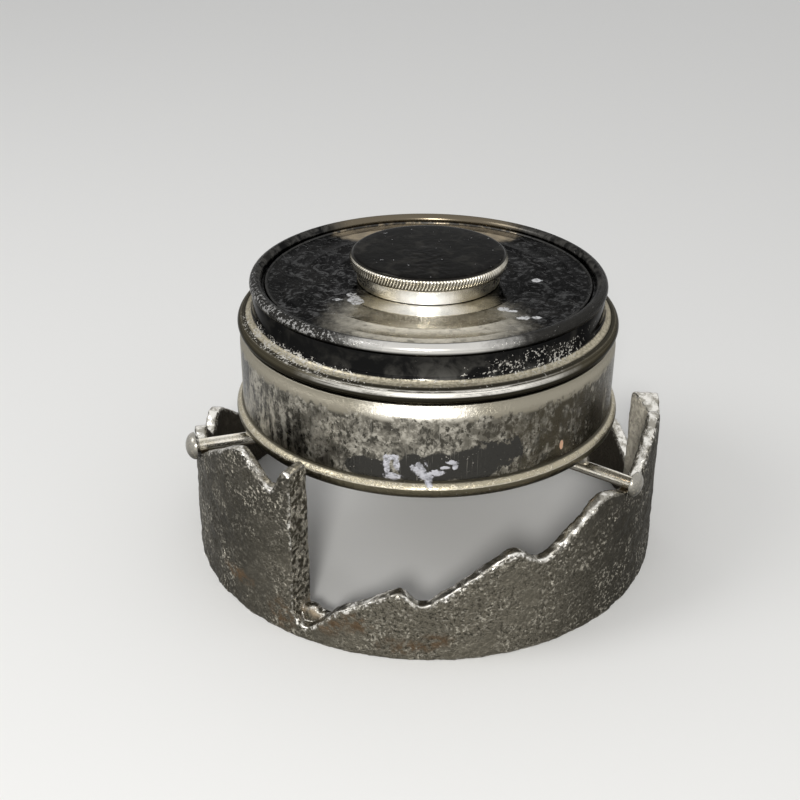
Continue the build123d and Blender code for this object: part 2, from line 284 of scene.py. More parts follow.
# %% [markdown]
# The three pins are short rods with round heads, driven into a boss under the drum. Each is turned upright like
# the other round pieces and then laid along its own direction.

# %% Support pins
PIN_RADIUS = 1.25
PIN_START = 6.05
PIN_FACES = 40
PINS = {"right": (55.5, 47.3, 2.45, 1.5), "back": (174.5, 47.3, 2.45, 1.5), "left": (289.0, 47.65, 2.75, 1.9)}
HEAD_STEPS = 9
PIN_HEIGHT = (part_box("support_pin_right")[0][2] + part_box("support_pin_right")[1][2]) / 2 / MM


def pin_outline(seat, head_radius, dome):
    outline = [(0, PIN_START), (PIN_RADIUS, PIN_START), (PIN_RADIUS, 30), (PIN_RADIUS, 40)]
    outline += beside(PIN_RADIUS, seat, (0, -0.35), (0.1, -0.1), (0.3, 0)) + [(head_radius - 0.12, seat)]
    for step in range(HEAD_STEPS):
        turn = math.pi / 2 * step / HEAD_STEPS
        outline.append((head_radius * math.cos(turn), seat + 0.09 + dome * math.sin(turn)))
    return outline + [(0, seat + 0.09 + dome)]


def outward(azimuth):
    """Direction of an azimuth, counted from the front towards the right."""
    turn = math.radians(azimuth)
    return Vector((math.sin(turn), -math.cos(turn), 0))


def lay_pin(name, azimuth, *sizes):
    piece = spin_outline(name, pin_outline(*sizes), steps=PIN_FACES)
    piece.rotation_euler = outward(azimuth).to_track_quat("Z", "Y").to_euler()
    piece.location = (0, 0, PIN_HEIGHT * MM)
    bpy.ops.object.transform_apply(location=True, rotation=True, scale=True)
    return piece


pins = []
for side, sizes in PINS.items():
    pin = lay_pin(f"wire_pin_{side}", *sizes)
    pins.append(settle(pin, "burner", "pin_steel", f"support_pin_{side}"))


# %% [markdown]
# Solder joins each pin to the bead above it. It set as a soft blob, so spheres are stretched over the joint,
# fused by a voxel remesh and smoothed until they flow into one another.

# %% Solder
SOLDER_CELL = 0.16
SOLDER_PLACES = ((36.4, 27.55, 1.2, 1.2, 1.3), (36.9, 27.1, 0.8, 1.0, 0.7), (35.3, 27.0, 1.0, 1.2, 1.2))


def ball(azimuth, radius, height, half_sizes, turn, segments):
    """A stretched ball at a place round the axis, turned by an angle in degrees."""
    place = outward(azimuth) * radius * MM + Vector((0, 0, height * MM))
    deselect()
    bpy.ops.mesh.primitive_uv_sphere_add(segments=segments, ring_count=segments // 2, radius=MM, location=place)
    made = bpy.context.object
    made.scale = half_sizes
    made.rotation_euler = (0, 0, math.radians(turn))
    bpy.ops.object.transform_apply(location=True, rotation=True, scale=True)
    return made


def solder_blobs():
    balls = [ball(azimuth, radius, height, half_sizes, azimuth - 90, 32)
             for azimuth, *_ in PINS.values() for radius, height, *half_sizes in SOLDER_PLACES]
    pick(*balls)
    bpy.ops.object.join()
    blob = bpy.context.object
    blob.name = blob.data.name = "solder_blobs"
    modify(blob, "REMESH", mode="VOXEL", voxel_size=SOLDER_CELL * MM)
    modify(blob, "SMOOTH", iterations=8)
    bpy.ops.object.shade_smooth()
    return blob


solder = settle(solder_blobs(), "burner", "solder", "solder_joints")


# %% [markdown]
# The stand is a rough sand casting. A copy of the CAD ring has its triangles merged, and where the founder's gate
# broke off at the foot of the front post it gets a few lumps. It is remeshed in small even cells, so that its
# sharp edges can be smoothed round. Two cloud textures then push the skin in and out: broad lumps from the mould,
# and the grain of the sand. The copy also remembers where its edges stand out, because hands have polished them
# bright. Then half the faces are taken out where the surface doesn't need them, which keeps the piece light
# without losing its grain, and the foot is pressed flat again, because it was filed.

# %% Cast ring
RING_CELL = 0.31
RING_ROUNDING = 6
RING_THINNING = 0.5
EDGE_REACH = 0.5
LUMP_SIZE, LUMP_DEPTH = 3.4, 0.45
SAND_SIZE, SAND_DEPTH = 1.2, 0.26
GATE_LUMPS = ((-28.0, 43.9, 3.0, 2.0, 1.6, 2.5), (-24.0, 44.1, 3.3, 3.0, 1.3, 1.7), (-19.0, 44.5, 3.2, 3.2, 0.9, 1.2))


def copy_of_node(node, name):
    pick(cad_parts[node])
    bpy.ops.object.duplicate()
    piece = bpy.context.object
    piece.name = piece.data.name = name
    bpy.ops.object.mode_set(mode="EDIT")
    on_all(bpy.ops.mesh.remove_doubles, threshold=0.001 * MM)
    bpy.ops.object.mode_set(mode="OBJECT")
    return piece


def push_skin(piece, name, size, depth):
    texture = bpy.data.textures.new(name, "CLOUDS")
    texture.noise_scale = size * MM
    texture.noise_depth = 2
    modify(piece, "DISPLACE", texture=texture, texture_coords="LOCAL", strength=depth * MM, mid_level=0.2)


def points_of(piece, what="co"):
    """The places or normals of a piece's points, as rows of three numbers."""
    values = np.empty(len(piece.data.vertices) * 3)
    piece.data.vertices.foreach_get(what, values)
    return values.reshape(-1, 3)


def remember_edges(piece):
    """Stores how far each point stands out from a smoothed copy: 0.5 is flat, 1 a worn edge, 0 a corner."""
    places, normals = points_of(piece), points_of(piece, "normal")
    bpy.ops.object.duplicate()
    modify(bpy.context.object, "SMOOTH", iterations=25)
    stand_out = ((places - points_of(bpy.context.object)) * normals).sum(axis=1) / (EDGE_REACH * MM)
    bpy.ops.object.delete()
    attribute = piece.data.attributes.new("stand_out", "FLOAT", "POINT")
    attribute.data.foreach_set("value", np.clip(0.5 + 0.5 * stand_out, 0, 1))


def add_lumps(piece):
    """Joins stretched balls to a piece: azimuth, radius, height, then the half length, depth and height."""
    lumps = [ball(azimuth, radius, height, half_sizes, azimuth, 24)
             for azimuth, radius, height, *half_sizes in GATE_LUMPS]
    pick(piece, *lumps)
    bpy.ops.object.join()


def flatten_foot(piece):
    places = points_of(piece)
    places[:, 2] = np.maximum(places[:, 2], 0)
    piece.data.vertices.foreach_set("co", places.ravel())
    piece.data.update()


def cast_ring():
    ring = copy_of_node("stand_ring", "cast_ring")
    add_lumps(ring)
    modify(ring, "REMESH", mode="VOXEL", voxel_size=RING_CELL * MM)
    modify(ring, "SMOOTH", iterations=RING_ROUNDING)
    push_skin(ring, "lumps", LUMP_SIZE, LUMP_DEPTH)
    push_skin(ring, "sand", SAND_SIZE, SAND_DEPTH)
    remember_edges(ring)
    pick(ring)
    modify(ring, "DECIMATE", ratio=RING_THINNING)
    flatten_foot(ring)
    bpy.ops.object.shade_smooth()
    return ring


ring = settle(cast_ring(), "stand", "cast_ring", "stand_ring")


# %% [markdown]
# Inside the drum is mineral wool, pressed to shape and crowned where the lid doesn't hold it down. In the filler
# neck stands a wick of twisted strands. Both are soft, so they take the place of their plain CAD solids.

# %% Wool and wick
PAD_LOW, PAD_HIGH = (corner[2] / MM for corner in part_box("fibre_pad"))
PAD_RADIUS = 35.3
PAD_NARROW = 33.2
WICK_LOW, WICK_HIGH = (corner[2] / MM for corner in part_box("wick_plug"))
WICK_STRAND = 1.98
WOOL_CELL = 0.7


def wool_pad():
    outline = [(0, PAD_LOW + 0.15), (20, PAD_LOW + 0.2), (PAD_RADIUS - 2, PAD_LOW + 0.3)]
    outline += arc(PAD_RADIUS - 1.6, PAD_LOW + 1.7, 1.3, -80, 0, 6)
    outline += [(PAD_RADIUS - 0.5, DRUM_TOP - 3), (PAD_NARROW, DRUM_TOP - 1.2), (PAD_NARROW - 0.3, PAD_HIGH - 3.2)]
    outline += arc(PAD_NARROW - 2.7, PAD_HIGH - 2.9, 2.3, 0, 85, 8)
    outline += [(24, PAD_HIGH - 0.45), (14, PAD_HIGH - 0.3), (0, PAD_HIGH - 0.25)]
    pad = spin_outline("wool_pad", outline, steps=96)
    modify(pad, "REMESH", mode="VOXEL", voxel_size=WOOL_CELL * MM)
    push_skin(pad, "tufts", 2.6, 0.42)
    bpy.ops.object.shade_smooth()
    return pad


def strand_places():
    places = [(0.0, 0.0)]
    for reach, count in ((WICK_STRAND * 2.0, 6), (WICK_STRAND * 3.9, 12)):
        places += [(reach, math.tau * step / count) for step in range(count)]
    return places


def wick():
    outline = [(0, WICK_LOW + 0.02), (WICK_STRAND * 0.8, WICK_LOW + 0.05), (WICK_STRAND, WICK_LOW + 0.4)]
    outline += [(WICK_STRAND, WICK_HIGH - 0.7), (WICK_STRAND * 0.85, WICK_HIGH - 0.2), (0, WICK_HIGH - 0.05)]
    strands = []
    for reach, turn in strand_places():
        strand = spin_outline("wick_strand", outline, steps=18)
        strand.location = (reach * math.cos(turn) * MM, reach * math.sin(turn) * MM, 0)
        strands.append(strand)
    pick(*strands)
    bpy.ops.object.transform_apply(location=True, rotation=True, scale=True)
    bpy.ops.object.join()
    bundle = bpy.context.object
    bundle.name = bundle.data.name = "wick_bundle"
    return bundle


pad = settle(wool_pad(), "fuel_pad", "wadding", "fibre_pad")
wick_bundle = settle(wick(), "lid", "wadding", "wick_plug")


# %% [markdown]
# Every finish is made of nodes. A few helpers keep the lists short: one adds a node and fills or links its
# sockets, one adds a Math node and gives back its result, and the others make cloud noise and soft steps and
# combine masks. A socket knows which tree it is in, so the tree is only handed on where there is no socket yet.

# %% Node helpers
def add(tree, kind, values=None, **settings):
    made = tree.nodes.new("ShaderNode" + kind)
    for name, value in settings.items():
        setattr(made, name, value)
    for socket, value in (values or {}).items():
        if isinstance(value, bpy.types.NodeSocket):
            tree.links.new(value, made.inputs[socket])
        else:
            made.inputs[socket].default_value = value
    return made


def maths(tree, operation, *values):
    return add(tree, "Math", dict(enumerate(values)), operation=operation).outputs[0]


def noise(place, size, detail=6.0, roughness=0.6, swirl=0):
    """Cloud noise of a size in millimetres, from a place in metres."""
    scale = maths(place.id_data, "DIVIDE", 1000.0, size)
    values = {"Vector": place, "Scale": scale, "Detail": detail, "Roughness": roughness, "Distortion": swirl}
    return add(place.id_data, "TexNoise", values).outputs["Fac"]


def step_up(value, low, high):
    """0 up to low and 1 from high on, with a soft step between them."""
    values = {"Value": value, "From Min": low, "From Max": high}
    return add(value.id_data, "MapRange", values, interpolation_type="SMOOTHSTEP").outputs["Result"]


def plus(base, value, factor):
    """The base plus the value times the factor."""
    return maths(value.id_data, "ADD", base, maths(value.id_data, "MULTIPLY", value, factor))


def inverse(mask):
    return maths(mask.id_data, "SUBTRACT", 1.0, mask)


def both(first, *others):
    for other in others:
        first = maths(first.id_data, "MULTIPLY", first, other)
    return first


def either(first, *others):
    for other in others:
        first = maths(first.id_data, "MAXIMUM", first, other)
    return first


def around(value, middle, soft, falling=False):
    """A soft step up, or down, where the value passes the middle."""
    ends = [maths(value.id_data, operation, middle, soft) for operation in ("SUBTRACT", "ADD")]
    return step_up(value, *(ends[::-1] if falling else ends))


def within(value, low, high, soft):
    return both(around(value, low, soft), around(value, high, soft, True))


# %% [markdown]
# The same few effects return on nearly every piece: cloudy film, crusty specks, stains at one place, and the
# bands that follow a turned shape. Each is a node group that reads Object coordinates and puts out one mask.
# Sizes go in as millimetres and directions as degrees from the front.

# %% Groups of effects
def axes(place):
    """Height, distance from the axis and direction from the front of a place, in millimetres and radians."""
    tree = place.id_data
    in_mm = add(tree, "VectorMath", {0: place, "Scale": 1000.0}, operation="SCALE").outputs[0]
    parts = add(tree, "SeparateXYZ", {0: in_mm}).outputs
    across, along = (both(parts[axis], parts[axis]) for axis in "XY")
    radius = maths(tree, "SQRT", maths(tree, "ADD", across, along))
    turn = maths(tree, "ARCTAN2", parts["X"], both(parts["Y"], -1.0))
    return parts["Z"], radius, turn, parts


def cloud_mask(tree, given, place):
    """Cloudy film. Upright below 1 draws it out into streaks, and Swirl stirs it."""
    upright = add(tree, "CombineXYZ", {0: 1.0, 1: 1.0, 2: given["Upright"]}).outputs[0]
    stretched = add(tree, "VectorMath", {0: place, 1: upright}, operation="MULTIPLY").outputs[0]
    seed = both(given["Seed"], 0.137)
    moved = add(tree, "VectorMath", {0: stretched, 1: seed}, operation="ADD").outputs[0]
    film = noise(moved, given["Size"], 9.0, 0.62, given["Swirl"])
    return step_up(film, given["Low"], given["High"])


def crust_mask(tree, given, place):
    """Small hard specks in loose clusters; Amount is how much of the surface they cover."""
    grains = noise(place, given["Size"], 2.0, 0.7)
    cluster = noise(place, both(given["Size"], 6.0), 3.0)
    heap = plus(both(grains, 0.7), cluster, 0.3)
    low = plus(0.74, given["Amount"], -0.3)
    return step_up(heap, low, maths(tree, "ADD", low, 0.02))


def spot_mask(place, across, up, given):
    """A ragged spot: 1 inside a wobbly ellipse, from two distances that are 1 at its edge."""
    tree = place.id_data
    far = maths(tree, "SQRT", maths(tree, "ADD", both(across, across), both(up, up)))
    broad, fine = (maths(tree, "SUBTRACT", noise(place, size), 0.5) for size in (2.6, 0.7))
    wobble = plus(both(broad, 4.0), fine, 2.4)
    edge = plus(far, wobble, given["Ragged"])
    return around(edge, 1.0, given["Soft"], True)


def share(value, middle, size):
    """How far a value is from the middle, as a share of half the size."""
    return maths(value.id_data, "DIVIDE", both(maths(value.id_data, "SUBTRACT", value, middle), 2.0), size)


def stain_mask(tree, given, place):
    """A spot on a round wall."""
    height, radius, turn, _ = axes(place)
    away = maths(tree, "SUBTRACT", turn, maths(tree, "RADIANS", given["Azimuth"]))
    across = share(both(away, radius), 0.0, given["Width"])
    return spot_mask(place, across, share(height, given["Height"], given["Tall"]), given)


def puddle_mask(tree, given, place):
    """A spot on a flat top."""
    parts = axes(place)[3]
    across = share(parts["X"], given["X"], given["Width"])
    return spot_mask(place, across, share(parts["Y"], given["Y"], given["Length"]), given)


def zone_mask(tree, given, place):
    """A band between two heights and two distances from the axis."""
    height, radius, *_ = axes(place)
    return both(within(height, given["Low"], given["High"], given["Soft"]),
                within(radius, given["Inner"], given["Outer"], given["Soft"]))


def turning_mask(tree, given, place):
    """Fine lines that run round the axis, from the lathe or the spinning tool."""
    height, radius, *_ = axes(place)
    wavy = plus(radius, noise(place, 9.0), 0.8)
    profile = add(tree, "CombineXYZ", {0: wavy, 1: both(height, 1.3), 2: 0.0}).outputs[0]
    metres = add(tree, "VectorMath", {0: profile, "Scale": 0.001}, operation="SCALE").outputs[0]
    return step_up(noise(metres, given["Width"], 3.0, 0.7), given["Low"], given["High"])


# Each group's inputs, with the values that they start from
EFFECTS = {
    cloud_mask: {"Size": 4.0, "Low": 0.45, "High": 0.6, "Upright": 1.0, "Swirl": 0.0, "Seed": 0.0},
    crust_mask: {"Size": 0.6, "Amount": 0.3},
    stain_mask: {"Azimuth": 0.0, "Height": 40.0, "Width": 6.0, "Tall": 4.0, "Ragged": 0.5, "Soft": 0.12},
    puddle_mask: {"X": 0.0, "Y": 0.0, "Width": 4.0, "Length": 4.0, "Ragged": 0.4, "Soft": 0.12},
    zone_mask: {"Low": -100.0, "High": 1000.0, "Inner": -100.0, "Outer": 1000.0, "Soft": 0.1},
    turning_mask: {"Width": 0.4, "Low": 0.5, "High": 0.7},
}


def make_group(build, inputs):
    tree = bpy.data.node_groups.new(build.__name__, "ShaderNodeTree")
    for label, value in inputs.items():
        socket = tree.interface.new_socket(label, in_out="INPUT", socket_type="NodeSocketFloat")
        socket.default_value = value
    tree.interface.new_socket("Mask", in_out="OUTPUT", socket_type="NodeSocketFloat")
    given = tree.nodes.new("NodeGroupInput").outputs
    mask = build(tree, given, add(tree, "TexCoord").outputs["Object"])
    tree.links.new(mask, tree.nodes.new("NodeGroupOutput").inputs["Mask"])
    return tree


GROUPS = {build: make_group(build, inputs) for build, inputs in EFFECTS.items()}
print("effect groups:", ", ".join(group.name for group in GROUPS.values()))


# %% [markdown]
# A finish starts as bare metal and gets its films one over another. Each film has a mask, a colour and a
# roughness, as dust lies on tarnish and tarnish on plate. The height for the Bump node is added up the same way.
# In both lists, masks in brackets have to hold at once.

# %% Building up a finish
def effect(tree, build, **values):
    group = add(tree, "Group", node_tree=GROUPS[build])
    for label, value in values.items():
        socket = group.inputs[label.capitalize()]
        if isinstance(value, bpy.types.NodeSocket):
            tree.links.new(value, socket)
        else:
            socket.default_value = value
    return group.outputs["Mask"]


def clouds(tree, size, low, high, **more):
    """Cloudy film of a size in millimetres. The mask rises from 0 to 1 as the cloud goes from low to high."""
    return effect(tree, cloud_mask, size=size, low=low, high=high, **more)


def crust(tree, size, amount):
    return effect(tree, crust_mask, size=size, amount=amount)


def stain(tree, place, ragged, soft=0.12):
    """A spot on a round wall: azimuth and height of its middle, width and height of its own."""
    azimuth, height, width, tall = place
    return effect(tree, stain_mask, azimuth=azimuth, height=height, width=width, tall=tall, ragged=ragged, soft=soft)


def puddle(tree, place, ragged, soft=0.12):
    """A spot on a flat top: x and y of its middle, width and length."""
    x, y, width, length = place
    return effect(tree, puddle_mask, x=x, y=y, width=width, length=length, ragged=ragged, soft=soft)


def zone(tree, soft=0.1, **limits):
    return effect(tree, zone_mask, soft=soft, **limits)


def scattered(tree, kind, places, ragged, soft=0.16):
    """The same kind of spot at each of several places, as one mask."""
    return either(*[kind(tree, place, ragged, soft) for place in places])


def grey(level, warmth=0.0):
    """A metal's colour from its lightness; warmth leans it from blue to straw."""
    return (level * (1 + warmth), level * (1 + warmth * 0.4), level * (1 - warmth), 1)


def start_finish(name, metallic=1.0, edge_tint=1.0):
    """Edge tint below 1 keeps a dark mirror dark where it is seen at a low angle."""
    material = bpy.data.materials.new(name)
    material.use_nodes = True
    tree = material.node_tree
    shader = tree.nodes["Principled BSDF"]
    shader.inputs["Metallic"].default_value = metallic
    shader.inputs["Specular Tint"].default_value = (edge_tint, edge_tint, edge_tint, 1)
    return material, tree, shader


def joined(masks):
    """One mask, from a mask or from several that have to hold at once."""
    return both(*masks) if isinstance(masks, tuple) else masks


def lay_films(shader, colour, roughness, films):
    """Films are (mask or masks, colour, roughness), from the metal outwards."""
    for mask, film_colour, film_roughness in films:
        tree, mask = shader.id_data, joined(mask)
        tint = add(tree, "Mix", {0: mask, 6: colour, 7: film_colour}, data_type="RGBA")
        rough = add(tree, "Mix", {0: mask, 2: roughness, 3: film_roughness}, data_type="FLOAT")
        colour, roughness = tint.outputs[2], rough.outputs[0]
    shader.id_data.links.new(colour, shader.inputs["Base Color"])
    shader.id_data.links.new(roughness, shader.inputs["Roughness"])


def raise_skin(shader, heights):
    """Heights are (mask or masks, millimetres)."""
    total = 0.0
    for mask, depth in heights:
        total = plus(total, joined(mask), depth)
    bump = add(shader.id_data, "Bump", {"Height": total, "Distance": MM, "Strength": 1.0})
    shader.id_data.links.new(bump.outputs["Normal"], shader.inputs["Normal"])


def dress(piece, material):
    piece.data.materials.clear()
    piece.data.materials.append(material)


# %% [markdown]
# The top plate has gone nearly black and is still a mirror. Over it lies a grey film, stirred by a wiping cloth,
# a warm painted reflection behind the cap, a painted reflection and glint in front of it, and a few chalky
# splashes.

# %% Finish of the top plate
SPLASHES = ((-13.9, -10.9, 1.9, 4.4), (-12.9, -12.6, 1.5, 2), (-14.6, -9.2, 1.4, 1.6), (-17, -11.6, 1.8, 1),
            (13.9, -14.9, 2.6, 1.5), (15.8, -15.6, 2.4, 1.2), (17.2, -18.8, 3.2, 1.6), (19.6, -18.5, 2.4, 1.4),
            (21, -0.6, 2, 1.8))
# Middle and size of the warm painted reflection behind the cap, on the plate and on the back of the rim
WARM_REFLECTION_MIDDLE = (-0.9, 26.5)
WARM_REFLECTION_SIZE = (40.0, 18.0)


def plate_finish():
    material, tree, shader = start_finish("blackened_plate", edge_tint=0.5)
    bloom = clouds(tree, 13, 0.44, 0.64, swirl=1.2, seed=1)
    swirls = both(clouds(tree, 4.2, 0.49, 0.6, swirl=2.5, seed=2), clouds(tree, 0.9, 0.34, 0.6))
    left = puddle(tree, (-12, -12, 52, 46), 0.1, 0.7)
    haze = clouds(tree, 0.5, 0.54, 0.7, seed=3)
    # Painted reflection: a warm crescent behind the cap, blotchier in its core
    tint = puddle(tree, (*WARM_REFLECTION_MIDDLE, *WARM_REFLECTION_SIZE), 0.05, 0.1)
    warm_reflection_blotch = both(tint, clouds(tree, 3.6, 0.4, 0.62, swirl=1, seed=5))
    # Painted reflection and glint: lighter in front of the cap, lighter in the core, near-white at the spot
    front = puddle(tree, (0, -21, 24, 19), 0.15, 0.8)
    painted_reflection_core = both(front, clouds(tree, 1.6, 0.25, 0.5, seed=6))
    bright = puddle(tree, (-0.5, -17, 16, 9), 0.1, 0.5)
    edge = both(zone(tree, inner=PLATE_RADIUS - 1.15, outer=PLATE_RADIUS - 0.5, soft=0.12),
                clouds(tree, 1.5, 0.3, 0.55, seed=8))
    splashes = scattered(tree, puddle, SPLASHES, 0.7)
    chalk = both(splashes, clouds(tree, 0.7, 0.34, 0.5, seed=7))
    specks = crust(tree, 0.4, 0.24)
    films = [(bloom, grey(0.015, 0.03), 0.2), ((swirls, left), grey(0.1), 0.4),
             ((swirls, inverse(left)), grey(0.075), 0.34), (haze, grey(0.055), 0.4),
             (tint, (0.26, 0.22, 0.163, 1), 0.22), (warm_reflection_blotch, (0.35, 0.29, 0.205, 1), 0.26),
             (front, grey(0.34, 0.13), 0.16), (painted_reflection_core, grey(0.62, 0.12), 0.18), (bright, grey(0.98, 0.03), 0.12),
             (edge, grey(0.045, 0.03), 0.3), (specks, grey(0.34), 0.6), (chalk, grey(0.6, -0.01), 0.65)]
    lay_films(shader, grey(0.008), 0.07, films)
    waves = clouds(tree, 9, 0, 1)
    raise_skin(shader, [(chalk, 0.06), (specks, 0.03), (haze, 0.006), (waves, 0.06)])
    return material


dress(plate, plate_finish())


# %% [markdown]
# The lid changes from top to bottom. The outer half of its rolled rim is chalky, and rubbed smooth only at the
# front, where it is painted lighter as a highlight. The band under it is the black mirror again, with white specks
# on the right and a crust that creeps up from the flare on the left. The flare holds warm dust. The bead carries a
# painted highlight at the front and painted shade underneath, and the back of the rim a warm painted reflection.

# %% Finish of the lid
def lid_finish():
    material, tree, shader = start_finish("lid_plating", edge_tint=0.5)
    rim = zone(tree, low=RIM_HEIGHT - 0.2, inner=RIM_MIDDLE - 0.05, soft=0.3)
    # Painted highlight: the rubbed patch at the front of the rim is smooth and painted lighter
    rubbed_and_highlit = stain(tree, (1, RIM_HEIGHT + 0.4, 26, 9), 0.16, 0.5)
    front_left = stain(tree, (-46, RIM_HEIGHT, 60, 9), 0.05, 0.6)
    chalk = both(rim, crust(tree, 0.6, plus(0.33, front_left, 0.38)), inverse(rubbed_and_highlit))
    flare = zone(tree, low=LID_BEAD_HEIGHT + 1.15, high=RIM_HEIGHT - 5.3, soft=0.16)
    seam = zone(tree, low=LID_BEAD_HEIGHT + 1.2, high=LID_BEAD_HEIGHT + 1.5)
    bead = zone(tree, high=LID_BEAD_HEIGHT + 1.2)
    # Painted shade: the underside of the bead is painted dark
    under = zone(tree, high=LID_BEAD_HEIGHT + 0.25, soft=0.15)
    # Painted highlight: the front of the bead near-white, and the band above it a little lighter
    painted_front_highlight = stain(tree, (5, LID_BEAD_HEIGHT + 0.6, 38, 9), 0.1, 0.6)
    right = stain(tree, (40, 52.4, 28, 4.4), 0.15, 0.6)
    left = stain(tree, (-56, 50.1, 42, 3), 0.3, 0.6)
    front = stain(tree, (6, 50.3, 70, 2.2), 0.2, 0.6)
    amount = plus(plus(0.16, either(right, left), 0.44), front, 0.26)
    specks = both(crust(tree, 0.46, amount), inverse(bead))
    lines = effect(tree, turning_mask, width=0.34, low=0.5, high=0.62)
    dust = both(flare, clouds(tree, 0.6, 0.4, 0.6, seed=2))
    film = clouds(tree, 5, 0.45, 0.7, swirl=0.4, seed=4)
    # Painted reflection: the warm crescent behind the cap, carried onto the back of the rim
    tint = both(puddle(tree, (WARM_REFLECTION_MIDDLE[0], WARM_REFLECTION_MIDDLE[1] + 3, *WARM_REFLECTION_SIZE), 0.05, 0.2),
                zone(tree, low=RIM_HEIGHT - 0.3, soft=0.3))
    inner = both(zone(tree, low=RIM_HEIGHT - 0.5, outer=RIM_MIDDLE + 0.1, soft=0.3),
                 clouds(tree, 2.6, 0.4, 0.6, swirl=1, seed=2))
    films = [(film, grey(0.03, 0.08), 0.14), ((painted_front_highlight, film), grey(0.08, 0.06), 0.18),
             (inner, grey(0.055, 0.06), 0.3), (rim, grey(0.03, 0.06), 0.16), (tint, (0.14, 0.118, 0.085, 1), 0.22),
             ((rim, rubbed_and_highlit), grey(0.6, 0.04), 0.2), (chalk, grey(0.32, 0.02), 0.5), (flare, grey(0.25, 0.2), 0.3),
             (dust, grey(0.42, 0.18), 0.42), (bead, grey(0.05, 0.25), 0.14), ((bead, painted_front_highlight), grey(0.93, 0.06), 0.2),
             ((bead, lines), grey(0.045, 0.25), 0.3), (under, grey(0.025, 0.22), 0.25),
             (seam, grey(0.04, 0.2), 0.5), (specks, grey(0.52, 0.06), 0.6)]
    lay_films(shader, grey(0.01), 0.07, films)
    pits = both(rim, clouds(tree, 0.6, 0.35, 0.65), inverse(rubbed_and_highlit))
    raise_skin(shader, [(specks, 0.07), (pits, 0.09), ((lines, flare), 0.04), (film, 0.006)])
    return material


dress(lid, lid_finish())


# %% [markdown]
# The drum's plating is worn through in places. Old film runs down it in streaks, fine scratches show where it
# slid into something, and near the foot a strip was wiped clean. Two white splashes dried on that strip. The
# mouth curves in more softly than the sheet can show, so the bump turns it to the light. The mouth is painted
# lighter all round, partly a cleaner band and partly painted highlight, and near-white at the front as a painted
# highlight. The foot bead has a painted highlight line with painted shade below it.

# %% Finish of the drum
DRUM_SPLASHES = ((-10.4, 34.6, 1.1, 4), (-7.8, 35, 1, 3), (-9.2, 36.3, 2.6, 1), (-9, 32.5, 2.8, 1.4),
                 (-1.4, 34.2, 2.8, 2.4), (0.2, 33, 2.6, 2), (1, 31.9, 1.4, 1.6), (3.2, 33.6, 3.2, 1.3),
                 (5.4, 34.5, 2.2, 1), (7, 35.5, 2.4, 0.9), (8.2, 34.6, 1, 1.2))
WIPED_PLACES = ((-16, 33.6, 9, 4.4, 0.12), (-3.6, 34.2, 5, 6.2, 0.1), (4, 34.5, 9, 5.6, 0.12),
                (13.5, 35, 11, 7, 0.25), (21, 36.6, 9, 6, 0.6))


